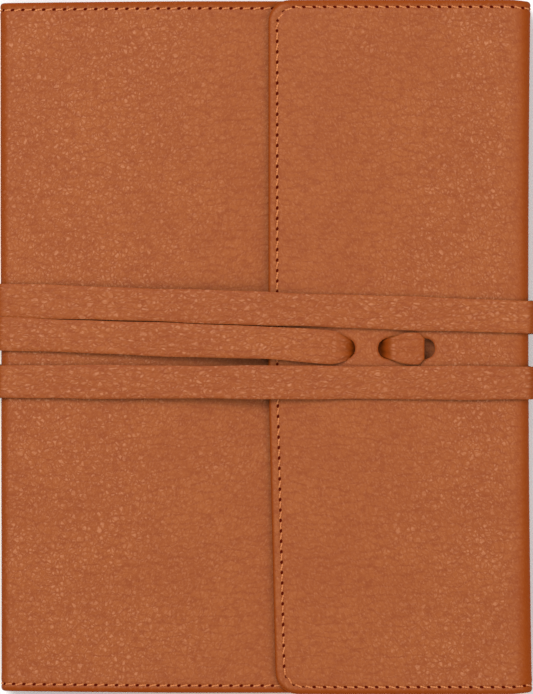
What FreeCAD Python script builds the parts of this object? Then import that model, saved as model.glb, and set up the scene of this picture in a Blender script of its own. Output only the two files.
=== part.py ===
"""Soft leather wrap cover for an A5 notebook, lying closed on its back.

Millimetres. +Z is up through the thickness, +Y runs up the page, the spine is at -X and the
fore-edge at +X. The origin is on the table under the middle of the closed cover.
One hide goes round the notebook: back, spine and front, and from the back's other side the
fore-edge strip and the flap. One flat strap is anchored in two slots of the flap, is wound round
three times and is tucked under itself at the back.
"""

import os

import FreeCAD
import Part

# Overall sizes
FLAP_HEIGHT = 220.0
COVER_HEIGHT = 219.4
HALF_WIDTH = 84.0

# Sheet thicknesses
LEATHER = 1.2
LINING = 0.6
BOARD = 0.8
CARD = 0.4
POCKET = 0.6
STRAP = 1.2

# The strap
STRAP_WIDTH = 10.5
STRAP_GAP = 0.1
SPINE_UPPER_Y = 14.9
SPINE_MIDDLE_Y = 4.3
SPINE_LOWER_Y = -10.95
EDGE_UPPER_Y = 9.4
EDGE_LOWER_Y = -11.4
FREE_END_X = 45.0

# Levels, from the table up
BACK_Z = 2 * STRAP
BACK_BOARD_Z = BACK_Z + LEATHER
BACK_LINING_Z = BACK_BOARD_Z + BOARD
BACK_CARD_Z = BACK_LINING_Z + LINING
BACK_POCKET_Z = BACK_CARD_Z + CARD
PAGES_Z = BACK_POCKET_Z + POCKET
PAGES_THICK = 9.5
SIGNATURES = 6
SIGNATURE_GAP = 0.05
FRONT_POCKET_Z = PAGES_Z + PAGES_THICK + 0.1
FRONT_CARD_Z = FRONT_POCKET_Z + POCKET
FRONT_LINING_Z = FRONT_CARD_Z + CARD
FRONT_BOARD_Z = FRONT_LINING_Z + LINING
FRONT_Z = FRONT_BOARD_Z + BOARD
FRONT_TOP_Z = FRONT_Z + LEATHER
ANCHOR_Z = FRONT_TOP_Z + 0.3
FLAP_LINING_Z = ANCHOR_Z + STRAP + STRAP_GAP
FLAP_Z = FLAP_LINING_Z + LINING
FLAP_TOP_Z = FLAP_Z + LEATHER
STRAP_Z = FLAP_TOP_Z + 0.3

# Panels
FOLD_RADIUS = 3.0
PANEL_X = HALF_WIDTH - FOLD_RADIUS
FRONT_EDGE_X = 77.0
COVER_CORNER = 4.0
BOARD_INSET = 4.0
LINING_INSET = 1.0
FLAP_CORNER = 5.5
FLAP_EDGE_TOP_X = 1.0
FLAP_EDGE_BOTTOM_X = 3.8

# Slots in the flap
SLOT_LENGTH = 18.0
SLOT_HEIGHT = 6.6
LEFT_SLOT_X = 10.6
RIGHT_SLOT_X = 35.8
SLOT_Y = -0.5
THREADED_WIDTH = 5.8
THREAD_CLEARANCE = 1.9
TAIL_END_X = 50.4
TAIL_WIDTH = 9.8

# Notebook
NOTEBOOK_SPINE_X = -79.0
NOTEBOOK_EDGE_X = 69.0
NOTEBOOK_HEIGHT = 210.0
POCKET_INNER_X = 5.0
POCKET_BORDER = 2.0

# Stitching
STITCH_PITCH = 3.3
STITCH_LENGTH = 2.4
STITCH_WIDTH = 0.7
STITCH_PROUD = 0.25
STITCH_INSET = 2.0
FLAP_STITCH_INSET = 2.7


def box(x0, x1, y0, y1, z0, z1):
    """An upright box between two corners."""
    return Part.makeBox(x1 - x0, y1 - y0, z1 - z0, FreeCAD.Vector(x0, y0, z0))


def sheet(x0, x1, height, z0, thickness):
    """A flat rectangular sheet centred on the X axis."""
    return box(x0, x1, -height / 2, height / 2, z0, z0 + thickness)


def plan_prism(points, z0, z1):
    """A plan outline of (x, y) points pulled up from z0 to z1."""
    corners = [FreeCAD.Vector(x, y, z0) for x, y in points]
    face = Part.Face(Part.makePolygon(corners + corners[:1]))
    return face.extrude(FreeCAD.Vector(0, 0, z1 - z0))


def side_prism(points, y0, y1):
    """A side outline of (x, z) points pulled along Y from y0 to y1."""
    corners = [FreeCAD.Vector(x, y0, z) for x, z in points]
    face = Part.Face(Part.makePolygon(corners + corners[:1]))
    return face.extrude(FreeCAD.Vector(0, y1 - y0, 0))


def round_upright_edges(solid, radius, chosen):
    """Fillets the solid's vertical edges whose place (x, y) is chosen."""
    edges = []
    for edge in solid.Edges:
        first, last = edge.Vertexes[0].Point, edge.Vertexes[-1].Point
        upright = abs(first.x - last.x) < 1e-6 and abs(first.y - last.y) < 1e-6
        if upright and chosen(first.x, first.y):
            edges.append(edge)
    return solid.makeFillet(radius, edges)


def fold_strip(side, z0, z1, height, outside, thickness):
    """A strip that stands at one side and bends in over its two quarter-round folds.

    side is -1 at the spine and +1 at the fore-edge. outside is the fold radius of its outer face.
    """

    def outline(x_outer, low, high, radius):
        inner_x = side * PANEL_X
        diagonal = radius * 0.5**0.5
        foot = FreeCAD.Vector(inner_x, 0, low)
        wall_low = FreeCAD.Vector(x_outer, 0, low + radius)
        wall_high = FreeCAD.Vector(x_outer, 0, high - radius)
        head = FreeCAD.Vector(inner_x, 0, high)
        low_mid = FreeCAD.Vector(inner_x + side * diagonal, 0, low + radius - diagonal)
        high_mid = FreeCAD.Vector(inner_x + side * diagonal, 0, high - radius + diagonal)
        return [
            Part.Arc(foot, low_mid, wall_low).toShape(),
            Part.makeLine(wall_low, wall_high),
            Part.Arc(wall_high, high_mid, head).toShape(),
        ]

    x_outer = side * (PANEL_X + outside)
    inside = outside - thickness
    outer = outline(x_outer, z0, z1, outside)
    inner = outline(x_outer - side * thickness, z0 + thickness, z1 - thickness, inside)
    ends = [
        Part.makeLine(
            FreeCAD.Vector(side * PANEL_X, 0, z0),
            FreeCAD.Vector(side * PANEL_X, 0, z0 + thickness),
        ),
        Part.makeLine(
            FreeCAD.Vector(side * PANEL_X, 0, z1),
            FreeCAD.Vector(side * PANEL_X, 0, z1 - thickness),
        ),
    ]
    wire = Part.Wire(Part.__sortEdges__(outer + inner + ends))
    solid = Part.Face(wire).extrude(FreeCAD.Vector(0, height, 0))
    solid.translate(FreeCAD.Vector(0, -height / 2, 0))
    return solid


def stitch_places(low, high):
    """Evenly spaced stitch centres between two ends of a seam."""
    count = int((high - low) / STITCH_PITCH)
    start = (low + high - (count - 1) * STITCH_PITCH) / 2
    return [start + i * STITCH_PITCH for i in range(count)]


def edge_stitches(x0, x1, height, z0):
    """The rows of stitches along the top and bottom edges of a flat panel."""
    row_y = height / 2 - STITCH_INSET
    half_length, half_width = STITCH_LENGTH / 2, STITCH_WIDTH / 2
    return [
        box(x - half_length, x + half_length, y - half_width, y + half_width, z0, z0 + STITCH_PROUD)
        for y in (-row_y, row_y)
        for x in stitch_places(x0, x1)
    ]


def wall_stitches(side, z0, z1, height):
    """The stitches across an upright strip, near its two ends."""
    row_y = height / 2 - STITCH_INSET
    face_x = side * HALF_WIDTH
    x0, x1 = sorted((face_x, face_x + side * STITCH_PROUD))
    half_length, half_width = STITCH_LENGTH / 2, STITCH_WIDTH / 2
    return [
        box(x0, x1, y - half_width, y + half_width, z - half_length, z + half_length)
        for y in (-row_y, row_y)
        for z in stitch_places(z0, z1)
    ]


def flap_edge_x(y):
    """Where the flap's free edge lies, which leans a little off square."""
    share = (y + FLAP_HEIGHT / 2) / FLAP_HEIGHT
    return FLAP_EDGE_BOTTOM_X + share * (FLAP_EDGE_TOP_X - FLAP_EDGE_BOTTOM_X)


def flap_sheet(inset, z0, thickness):
    """One layer of the flap: leaning free edge, two round corners and the strap's two slots."""
    top = FLAP_HEIGHT / 2 - inset
    outline = [
        (PANEL_X, -top),
        (PANEL_X, top),
        (flap_edge_x(top) + inset, top),
        (flap_edge_x(-top) + inset, -top),
    ]
    layer = plan_prism(outline, z0, z0 + thickness)
    layer = round_upright_edges(layer, FLAP_CORNER - inset, lambda x, y: x < PANEL_X / 2)
    for slot_x in (LEFT_SLOT_X, RIGHT_SLOT_X):
        layer = layer.cut(slot(slot_x, z0 - 1, z0 + thickness + 1))
    return layer


def slot(x0, z0, z1):
    """A round-ended slot cut along X."""
    radius = SLOT_HEIGHT / 2
    x1 = x0 + SLOT_LENGTH
    middle = box(x0 + radius, x1 - radius, SLOT_Y - radius, SLOT_Y + radius, z0, z1)
    for x in (x0 + radius, x1 - radius):
        middle = middle.fuse(Part.makeCylinder(radius, z1 - z0, FreeCAD.Vector(x, SLOT_Y, z0)))
    return middle.removeSplitter()


def panel(x0, x1, height, z0, thickness, rounded_side):
    """A flat panel with its two free corners rounded, on the side that rounded_side gives."""
    solid = sheet(x0, x1, height, z0, thickness)
    if rounded_side:
        middle = (x0 + x1) / 2
        solid = round_upright_edges(
            solid, COVER_CORNER, lambda x, y: (x - middle) * rounded_side > 0
        )
    return solid


def pocket(x0, x1, sheet_z, lining_z):
    """A sleeve for one card cover of the notebook, sewn down to the lining round three sides."""
    top = COVER_HEIGHT / 2 - LINING_INSET
    low, high = sorted((sheet_z, lining_z))
    if sheet_z < lining_z:
        body = box(x0, x1, -top, top, low, high)
        recess_z = (sheet_z + POCKET, high + 1)
    else:
        body = box(x0, x1, -top, top, low, high + POCKET)
        recess_z = (low - 1, sheet_z)
    recess_y = top - POCKET_BORDER
    return body.cut(box(x0 - 1, x1 - POCKET_BORDER, -recess_y, recess_y, *recess_z))


def signatures():
    """The sewn gatherings of leaves that make the page block."""
    pitch = PAGES_THICK / SIGNATURES
    half_height = NOTEBOOK_HEIGHT / 2 - 0.5
    return [
        box(
            NOTEBOOK_SPINE_X + 0.5,
            NOTEBOOK_EDGE_X,
            -half_height,
            half_height,
            PAGES_Z + i * pitch,
            PAGES_Z + (i + 1) * pitch - SIGNATURE_GAP,
        )
        for i in range(SIGNATURES)
    ]


def strip_plan(x0, y0, x1, y1, width, z0, z1):
    """A flat strip of constant width that leans from (x0, y0) to (x1, y1) in plan."""
    half = width / 2
    return plan_prism([(x0, y0 - half), (x1, y1 - half), (x1, y1 + half), (x0, y0 + half)], z0, z1)


def wall_x(side):
    """The inner face of the strap where it turns round a side of the cover."""
    return side * (HALF_WIDTH + STRAP_GAP)


def front_profile(x_end):
    """Side outline of a strap span on the front: flat on the flap, then down to the spine corner."""
    flap_x = FLAP_EDGE_TOP_X - 1.0
    spine_z = FRONT_TOP_Z + STRAP_GAP
    start_x = wall_x(-1)
    return [
        (start_x, spine_z),
        (flap_x, STRAP_Z),
        (x_end, STRAP_Z),
        (x_end, STRAP_Z + STRAP),
        (flap_x, STRAP_Z + STRAP),
        (start_x, spine_z + STRAP),
    ]


def front_span(spine_y, edge_y):
    """A strap span across the whole front."""
    x0, x1 = wall_x(-1), wall_x(1)
    plan = strip_plan(x0, spine_y, x1, edge_y, STRAP_WIDTH, 0, STRAP_Z + 2 * STRAP)
    return plan.common(side_prism(front_profile(x1), -FLAP_HEIGHT / 2, FLAP_HEIGHT / 2))


def front_middle_span():
    """The strap span that narrows and dives through the flap's left slot."""
    x0 = wall_x(-1)
    slot_end = LEFT_SLOT_X + SLOT_LENGTH - THREAD_CLEARANCE
    dive_x = slot_end - STRAP
    narrow_x = LEFT_SLOT_X + SLOT_LENGTH / 2
    half, thin = STRAP_WIDTH / 2, THREADED_WIDTH / 2
    plan = plan_prism(
        [
            (x0, SPINE_MIDDLE_Y - half),
            (LEFT_SLOT_X, SLOT_Y - half),
            (narrow_x, SLOT_Y - thin),
            (slot_end, SLOT_Y - thin),
            (slot_end, SLOT_Y + thin),
            (narrow_x, SLOT_Y + thin),
            (LEFT_SLOT_X, SLOT_Y + half),
            (x0, SPINE_MIDDLE_Y + half),
        ],
        0,
        STRAP_Z + 2 * STRAP,
    )
    run = side_prism(front_profile(slot_end), -FLAP_HEIGHT / 2, FLAP_HEIGHT / 2)
    drop_z = ANCHOR_Z + STRAP
    dive = box(dive_x, slot_end, SLOT_Y - thin, SLOT_Y + thin, drop_z, STRAP_Z)
    return plan.common(run).fuse(dive).removeSplitter()


def anchor_tail():
    """The strap's anchored end: under the bridge between the slots, up and out as a short tail."""
    thin = THREADED_WIDTH / 2
    start_x = LEFT_SLOT_X + SLOT_LENGTH - THREAD_CLEARANCE - STRAP
    rise_x = RIGHT_SLOT_X + THREAD_CLEARANCE
    under = box(start_x, rise_x + STRAP, SLOT_Y - thin, SLOT_Y + thin, ANCHOR_Z, ANCHOR_Z + STRAP)
    rise = box(rise_x, rise_x + STRAP, SLOT_Y - thin, SLOT_Y + thin, ANCHOR_Z, STRAP_Z + STRAP)
    wide = TAIL_WIDTH / 2
    flare_x = RIGHT_SLOT_X + SLOT_LENGTH / 2
    tail = plan_prism(
        [
            (rise_x, SLOT_Y - thin),
            (flare_x, SLOT_Y - wide),
            (TAIL_END_X, SLOT_Y - wide),
            (TAIL_END_X, SLOT_Y + wide),
            (flare_x, SLOT_Y + wide),
            (rise_x, SLOT_Y + thin),
        ],
        STRAP_Z,
        STRAP_Z + STRAP,
    )
    return under.fuse(rise).fuse(tail).removeSplitter()


def back_run(y0, x1, y1, z0):
    """A strap run across the back, starting at the spine."""
    return strip_plan(wall_x(-1), y0, x1, y1, STRAP_WIDTH, z0, z0 + STRAP)


def turn(side, y, low_z, high_z):
    """The strap's upright wall where it turns round the spine or the fore-edge."""
    x0, x1 = sorted((wall_x(side), wall_x(side) + side * STRAP))
    return box(x0, x1, y - STRAP_WIDTH / 2, y + STRAP_WIDTH / 2, low_z, high_z)


def outer_layers():
    """The hide, in the panels that its folds divide it into."""
    return {
        "back_leather": sheet(-PANEL_X, PANEL_X, COVER_HEIGHT, BACK_Z, LEATHER),
        "spine_leather": fold_strip(-1, BACK_Z, FRONT_TOP_Z, COVER_HEIGHT, FOLD_RADIUS, LEATHER),
        "front_leather": panel(-PANEL_X, FRONT_EDGE_X, COVER_HEIGHT, FRONT_Z, LEATHER, 1),
        "fore_edge_leather": fold_strip(1, BACK_Z, FLAP_TOP_Z, COVER_HEIGHT, FOLD_RADIUS, LEATHER),
        "flap_leather": flap_sheet(0, FLAP_Z, LEATHER),
    }


def inner_layers():
    """Stiffening boards, linings and the two pockets."""
    board_height = COVER_HEIGHT - 2 * BOARD_INSET
    lining_height = COVER_HEIGHT - 2 * LINING_INSET
    spine_x = -PANEL_X + 1.0
    edge_x = FRONT_EDGE_X - LINING_INSET
    inner_fold = FOLD_RADIUS - LEATHER
    low, high = BACK_Z + LEATHER, FRONT_TOP_Z - LEATHER
    flap_high = FLAP_TOP_Z - LEATHER
    return {
        "back_board": sheet(spine_x, edge_x, board_height, BACK_BOARD_Z, BOARD),
        "back_lining": sheet(spine_x, PANEL_X - 1.0, lining_height, BACK_LINING_Z, LINING),
        "back_pocket": pocket(POCKET_INNER_X, edge_x, BACK_POCKET_Z, BACK_CARD_Z),
        "spine_lining": fold_strip(-1, low, high, lining_height, inner_fold, LINING),
        "front_board": sheet(spine_x, edge_x - BOARD_INSET, board_height, FRONT_BOARD_Z, BOARD),
        "front_lining": sheet(spine_x, edge_x, lining_height, FRONT_LINING_Z, LINING),
        "front_pocket": pocket(POCKET_INNER_X, edge_x, FRONT_POCKET_Z, FRONT_LINING_Z),
        "fore_edge_lining": fold_strip(1, low, flap_high, lining_height, inner_fold, LINING),
        "flap_lining": flap_sheet(LINING_INSET, FLAP_LINING_Z, LINING),
    }


def stitching():
    """Saddle stitches along every edge of the hide."""
    edge_x = FRONT_EDGE_X - STITCH_INSET
    half_length, half_width = STITCH_LENGTH / 2, STITCH_WIDTH / 2
    free_edge = [
        box(
            flap_edge_x(y) + FLAP_STITCH_INSET - half_width,
            flap_edge_x(y) + FLAP_STITCH_INSET + half_width,
            y - half_length,
            y + half_length,
            FLAP_TOP_Z,
            FLAP_TOP_Z + STITCH_PROUD,
        )
        for y in stitch_places(-FLAP_HEIGHT / 2 + FLAP_CORNER, FLAP_HEIGHT / 2 - FLAP_CORNER)
    ]
    flap_rows = edge_stitches(FLAP_EDGE_BOTTOM_X + FLAP_CORNER, PANEL_X, FLAP_HEIGHT, FLAP_TOP_Z)
    wall_low, front_high = BACK_Z + FOLD_RADIUS, FRONT_TOP_Z - FOLD_RADIUS
    flap_high = FLAP_TOP_Z - FOLD_RADIUS
    back_rows = edge_stitches(-PANEL_X, PANEL_X, COVER_HEIGHT, BACK_Z - STITCH_PROUD)
    return {
        "back_stitching": back_rows,
        "spine_stitching": wall_stitches(-1, wall_low, front_high, COVER_HEIGHT),
        "front_stitching": edge_stitches(-PANEL_X, edge_x, COVER_HEIGHT, FRONT_TOP_Z),
        "fore_edge_stitching": wall_stitches(1, wall_low, flap_high, COVER_HEIGHT),
        "flap_stitching": flap_rows + free_edge,
    }


def notebook():
    """The refill: two card covers, the sewn pages and a cloth tape over its spine."""
    tape_x = NOTEBOOK_SPINE_X - CARD
    tape_high = PAGES_Z + PAGES_THICK
    back_card = sheet(NOTEBOOK_SPINE_X, NOTEBOOK_EDGE_X, NOTEBOOK_HEIGHT, BACK_CARD_Z, CARD)
    front_card = sheet(NOTEBOOK_SPINE_X, NOTEBOOK_EDGE_X, NOTEBOOK_HEIGHT, FRONT_CARD_Z, CARD)
    return {
        "notebook_back_card": back_card,
        "notebook_front_card": front_card,
        "notebook_pages": signatures(),
        "notebook_spine_tape": box(
            tape_x,
            NOTEBOOK_SPINE_X,
            -NOTEBOOK_HEIGHT / 2 + 1,
            NOTEBOOK_HEIGHT / 2 - 1,
            BACK_CARD_Z,
            tape_high,
        ),
    }


def strap():
    """The wrap strap, in the stretches between its turns."""
    slope = (EDGE_LOWER_Y - SPINE_MIDDLE_Y) / (wall_x(1) - wall_x(-1))
    free_end_y = SPINE_UPPER_Y + slope * (FREE_END_X - wall_x(-1))
    spine_top = FRONT_TOP_Z + STRAP_GAP + STRAP
    edge_top = STRAP_Z + STRAP
    return {
        "strap_anchor_tail": anchor_tail(),
        "strap_front_middle": front_middle_span(),
        "strap_front_upper": front_span(SPINE_UPPER_Y, EDGE_UPPER_Y),
        "strap_front_lower": front_span(SPINE_LOWER_Y, EDGE_LOWER_Y),
        "strap_back_first": back_run(SPINE_MIDDLE_Y, wall_x(1), EDGE_LOWER_Y, STRAP),
        "strap_back_second": back_run(SPINE_LOWER_Y, wall_x(1), EDGE_UPPER_Y, 0),
        "strap_back_third": back_run(SPINE_UPPER_Y, FREE_END_X, free_end_y, STRAP),
        "strap_spine_turns": [
            turn(-1, SPINE_UPPER_Y, STRAP, spine_top),
            turn(-1, SPINE_MIDDLE_Y, STRAP, spine_top),
            turn(-1, SPINE_LOWER_Y, 0, spine_top),
        ],
        "strap_fore_edge_turns": [
            turn(1, EDGE_UPPER_Y, 0, edge_top),
            turn(1, EDGE_LOWER_Y, STRAP, edge_top),
        ],
    }


def main():
    os.makedirs("parts", exist_ok=True)
    nodes = {}
    for group in (outer_layers(), inner_layers(), stitching(), notebook(), strap()):
        nodes.update(group)
    for name, shape in nodes.items():
        if isinstance(shape, list):
            shape = Part.makeCompound(shape)
        shape.exportStep("parts/" + name + ".step")


main()
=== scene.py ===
"""Looks of a leather wrap notebook cover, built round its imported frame. Metres, +Z up, spine at -X."""

import math

import bmesh
import bpy
import numpy as np
from mathutils import Matrix, Vector


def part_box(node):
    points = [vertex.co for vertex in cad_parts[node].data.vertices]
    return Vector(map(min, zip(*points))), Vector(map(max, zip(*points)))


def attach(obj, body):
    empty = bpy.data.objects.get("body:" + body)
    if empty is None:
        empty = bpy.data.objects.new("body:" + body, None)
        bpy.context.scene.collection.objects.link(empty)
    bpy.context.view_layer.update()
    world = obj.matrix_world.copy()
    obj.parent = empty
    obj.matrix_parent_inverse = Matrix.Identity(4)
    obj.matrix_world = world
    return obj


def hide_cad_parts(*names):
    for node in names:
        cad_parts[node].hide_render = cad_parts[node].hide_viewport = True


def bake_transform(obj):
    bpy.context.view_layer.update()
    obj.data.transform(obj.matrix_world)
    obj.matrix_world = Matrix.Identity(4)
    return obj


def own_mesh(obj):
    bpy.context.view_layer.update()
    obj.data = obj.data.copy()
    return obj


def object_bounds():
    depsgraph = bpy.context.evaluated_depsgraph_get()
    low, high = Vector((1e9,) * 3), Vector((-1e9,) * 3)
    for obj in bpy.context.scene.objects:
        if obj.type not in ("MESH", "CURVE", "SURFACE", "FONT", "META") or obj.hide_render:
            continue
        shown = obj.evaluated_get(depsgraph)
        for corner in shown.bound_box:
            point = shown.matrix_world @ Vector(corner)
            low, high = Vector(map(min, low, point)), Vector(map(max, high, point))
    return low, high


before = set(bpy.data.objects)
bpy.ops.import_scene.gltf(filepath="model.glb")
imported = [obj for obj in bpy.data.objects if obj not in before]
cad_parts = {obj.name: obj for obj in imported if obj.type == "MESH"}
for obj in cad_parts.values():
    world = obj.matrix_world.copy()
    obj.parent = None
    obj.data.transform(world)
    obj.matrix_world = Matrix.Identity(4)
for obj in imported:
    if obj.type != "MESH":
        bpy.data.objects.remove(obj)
cad_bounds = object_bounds()

MM = 0.001

# ---------------------------------------------------------------- places taken from the frame
BACK_LOW, BACK_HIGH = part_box("back_leather")
FRONT_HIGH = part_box("front_leather")[1]
FLAP_LOW, FLAP_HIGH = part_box("flap_leather")
SPINE_LOW, SPINE_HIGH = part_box("spine_leather")
EDGE_LOW, EDGE_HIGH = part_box("fore_edge_leather")
LINING_LOW, LINING_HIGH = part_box("back_lining")
PAGES_LOW, PAGES_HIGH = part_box("notebook_pages")
ANCHOR_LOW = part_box("strap_anchor_tail")[0]

HIDE = BACK_HIGH.z - BACK_LOW.z
LINING = LINING_HIGH.z - LINING_LOW.z
BOARD = LINING_LOW.z - BACK_HIGH.z
FOLD = BACK_LOW.x - SPINE_LOW.x
COVER_HALF = BACK_HIGH.y
FLAP_HALF = FLAP_HIGH.y
SPLIT_Z = (EDGE_LOW.z + EDGE_HIGH.z) / 2
UNDER_X = BACK_LOW.x + 2 * MM

# ---------------------------------------------------------------- sizes of the fine detail
# sheets: corners, where each one's even stretch begins, the roll of its edge and its mesh steps
COVER_CORNER = 4 * MM
FLAP_CORNER = 7 * MM
COVER_FIXED_S = 24 * MM
FLAP_FIXED_S = 14 * MM
LINING_MARGIN = 1 * MM
FLAP_LINING_MARGIN = 0.6 * MM
PANEL_CALM = BACK_HIGH.x - 2 * MM
FLAP_LEAN = 2.4 * MM
LEAN_START = -10 * MM
FORE_EDGE_TURN = 83.5 * MM
SPINE_TURN = 83.5 * MM
ROLL = 1.1 * MM
ROLL_DROP = 0.75 * MM
FINE_STEP = 0.25 * MM
COARSE_STEP = 1.5 * MM
FINE_BAND = 4.5 * MM
SNAP = 0.126 * MM

# seams
SEAM_INSET = 2.3 * MM
FLAP_SEAM_INSET = 2.8 * MM
STITCH_PITCH = 3.3 * MM
STITCH_LENGTH = 2.35 * MM
PLY_RADIUS = 0.16 * MM
GROOVE_DEPTH = 0.26 * MM
GROOVE_WIDTH = 0.5 * MM
HOLE_LIFT = 0.035 * MM

# the flap's two slots
SLOT_LENGTH = 18 * MM
SLOT_RADIUS = 3.3 * MM
SLOT_Y = -0.5 * MM
SLOT_ROLL = 0.3 * MM
LEFT_SLOT_X = 10.6 * MM
RIGHT_SLOT_X = 35.8 * MM
SLOT_CENTRE_X = (LEFT_SLOT_X + SLOT_LENGTH + RIGHT_SLOT_X) / 2

# the strap: its section, its levels and where its spans meet the two sides
STRAP_WIDTH = 10.5 * MM
STRAP_THICK = 1.2 * MM
THREADED_WIDTH = 5.2 * MM
TAIL_WIDTH = 9.8 * MM
TAIL_THREADED_WIDTH = 5.6 * MM
TAIL_END_X = 50.4 * MM
STRAP_LEVEL = FLAP_HIGH.z + 0.9 * MM
UNDER_FLAP = ANCHOR_LOW.z + STRAP_THICK / 2
STRAP_OFF = 0.7 * MM
UPPER_Y, MIDDLE_Y, LOWER_Y = 14.9 * MM, 4.3 * MM, -10.95 * MM
EDGE_UPPER_Y, EDGE_LOWER_Y = 9.4 * MM, -11.4 * MM
FREE_END_X, FREE_END_Y = 45 * MM, 2.8 * MM

# materials and the inside
STROKE_SLANT = math.radians(28)
LEAF_PITCH = 0.32 * MM
POCKET_WAVE = 0.02 * MM

# table, light and camera
TABLE_GAP = 0.2 * MM
MAIN_POWER, FILL_POWER, SKY_STRENGTH = 16, 8, 0.55
CAMERA_X = 0.48 * MM
CAMERA_ABOVE = 2.0
FOCUS_HEIGHT = 0.021
PICTURE_HEIGHT = 0.2199
SENSOR = 24


def smooth(value, low, high):
    """0 below low, 1 above high, and an even ease between."""
    t = np.clip((value - low) / (high - low), 0, 1)
    return t * t * (3 - 2 * t)


def bell(value, centre, width):
    """1 at centre, falling to nothing over a few widths."""
    return np.exp(-(((value - centre) / width) ** 2))


def running_length(points):
    """How far along a line of points each of them is."""
    gaps = np.linalg.norm(np.diff(points, axis=0), axis=1)
    return np.concatenate([[0], np.cumsum(gaps)])


def along_line(at, along, line):
    """The places at these distances along a line of points."""
    return np.stack([np.interp(at, along, column) for column in np.transpose(line)], axis=1)


# ---------------------------------------------------------------- meshes
def make_object(name, points, faces, uvs=None, materials=(), face_materials=None, painted_shade=None):
    """A mesh object from arrays. uvs holds one (u, v) per point, and the last argument one amount of
    painted shade per point.
    """
    mesh = bpy.data.meshes.new(name)
    mesh.from_pydata([tuple(p) for p in points], [], [tuple(f) for f in faces])
    for material in materials:
        mesh.materials.append(material)
    if face_materials is not None:
        mesh.polygons.foreach_set("material_index", np.asarray(face_materials, np.int32))
    if uvs is not None:
        layer = mesh.uv_layers.new(name="surface")
        corner = np.zeros(len(mesh.loops), np.int32)
        mesh.loops.foreach_get("vertex_index", corner)
        layer.data.foreach_set("uv", np.asarray(uvs, np.float32)[corner].ravel())
    if painted_shade is not None:
        tone = mesh.attributes.new("painted_shade", "FLOAT", "POINT")
        tone.data.foreach_set("value", np.asarray(painted_shade, np.float32))
    mesh.polygons.foreach_set("use_smooth", np.full(len(mesh.polygons), True))
    mesh.update()
    obj = bpy.data.objects.new(name, mesh)
    bpy.context.scene.collection.objects.link(obj)
    return obj


def close_up(obj, degrees=50):
    """Drops the points that no face uses, turns every face outward and keeps sharp edges crisp."""
    tidy = bmesh.new()
    tidy.from_mesh(obj.data)
    bmesh.ops.delete(tidy, geom=[v for v in tidy.verts if not v.link_faces], context="VERTS")
    bmesh.ops.recalc_face_normals(tidy, faces=tidy.faces)
    tidy.to_mesh(obj.data)
    tidy.free()
    obj.data.set_sharp_from_angle(angle=math.radians(degrees))
    return obj


def stand_for(obj, body, finish, *nodes):
    """The piece rides on a body and stands for these CAD nodes, which it hides; finish is not used."""
    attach(obj, body)
    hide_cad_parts(*nodes)


def grid_faces(rows, columns):
    """Quads over a rows x columns grid of points."""
    r, c = np.meshgrid(np.arange(rows - 1), np.arange(columns - 1), indexing="ij")
    a = (r * columns + c).ravel()
    return np.stack([a, a + 1, a + columns + 1, a + columns], axis=1)


def tube_faces(rings, sides):
    """Quads round a tube whose points come ring by ring."""
    r, c = np.meshgrid(np.arange(rings - 1), np.arange(sides), indexing="ij")
    a, b = (r * sides + c).ravel(), (r * sides + (c + 1) % sides).ravel()
    return np.stack([a, b, b + sides, a + sides], axis=1)


def shell_faces(quads, count):
    """The faces of a closed shell, whose count inner points follow its outer ones.

    They are the quads outside, the same inside, and a wall round every rim. It also gives the
    outer point at which each face of the wall starts.
    """
    edges = np.concatenate([quads[:, [k, (k + 1) % 4]] for k in range(4)])
    keys = edges.min(axis=1) * count + edges.max(axis=1)
    first, used = np.unique(keys, return_index=True, return_counts=True)[1:]
    start, end = edges[first[used == 1]].T
    wall = np.stack([start, end, end + count, start + count], axis=1)
    return np.concatenate([quads, quads[:, ::-1] + count, wall]), start


def steps(low, high, fine_zones):
    """Places from low to high, close together inside the fine zones."""
    ruler = np.linspace(low, high, 20001)
    spacing = np.full(len(ruler), COARSE_STEP)
    for start, end in fine_zones:
        spacing[(ruler >= start) & (ruler <= end)] = FINE_STEP
    count = np.concatenate([[0], np.cumsum((ruler[1] - ruler[0]) / spacing[1:])])
    return np.interp(np.linspace(0, count[-1], math.ceil(count[-1]) + 1), count, ruler)


# ---------------------------------------------------------------- one folded sheet
def spine_shift(y):
    """How far the spine wall stands in from its nominal place: more towards the foot."""
    return 0.35 * MM * smooth(-y, -60 * MM, 90 * MM) + 0.12 * MM * bell(y, 0, 22 * MM)


def fore_edge_shift(y):
    """How far the fore-edge wall stands out: pulled in by the strap, flared at its two ends."""
    share = y / FLAP_HALF
    return (-0.45 + 0.85 * share**2 - 0.25 * share) * MM


def taper(x):
    """How much shorter the cover gets, at each end, towards the spine and the fore-edge."""
    left = np.clip((-x - 20 * MM) / (64 * MM), 0, 1) ** 1.5
    right = smooth(x, 77 * MM, 85 * MM)
    return (0.6 * left + 0.6 * right) * MM


def undulation(x, y):
    """The slow waves of a soft hide lying over a notebook."""
    first = np.sin(x / (19 * MM) + 1.3 * np.sin(y / (31 * MM)))
    second = np.sin(y / (23 * MM) - 1.1 + 0.8 * np.sin(x / (27 * MM)))
    third = np.sin((x + 1.7 * y) / (13 * MM))
    return (0.05 * first + 0.05 * second + 0.03 * third) * MM


def droop(x, y):
    """How far the flap sags on to the cover near its free edge; the strap's anchor holds it off."""
    held = 1 - 0.5 * bell(y, 2 * MM, 26 * MM)
    return 1.2 * MM * smooth(x, 26 * MM, 3 * MM) * held


def slot_middle(x, start):
    """The place nearest to x on the middle line of the round-ended slot that begins at start."""
    return np.clip(x, start + SLOT_RADIUS, start + SLOT_LENGTH - SLOT_RADIUS)


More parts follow.
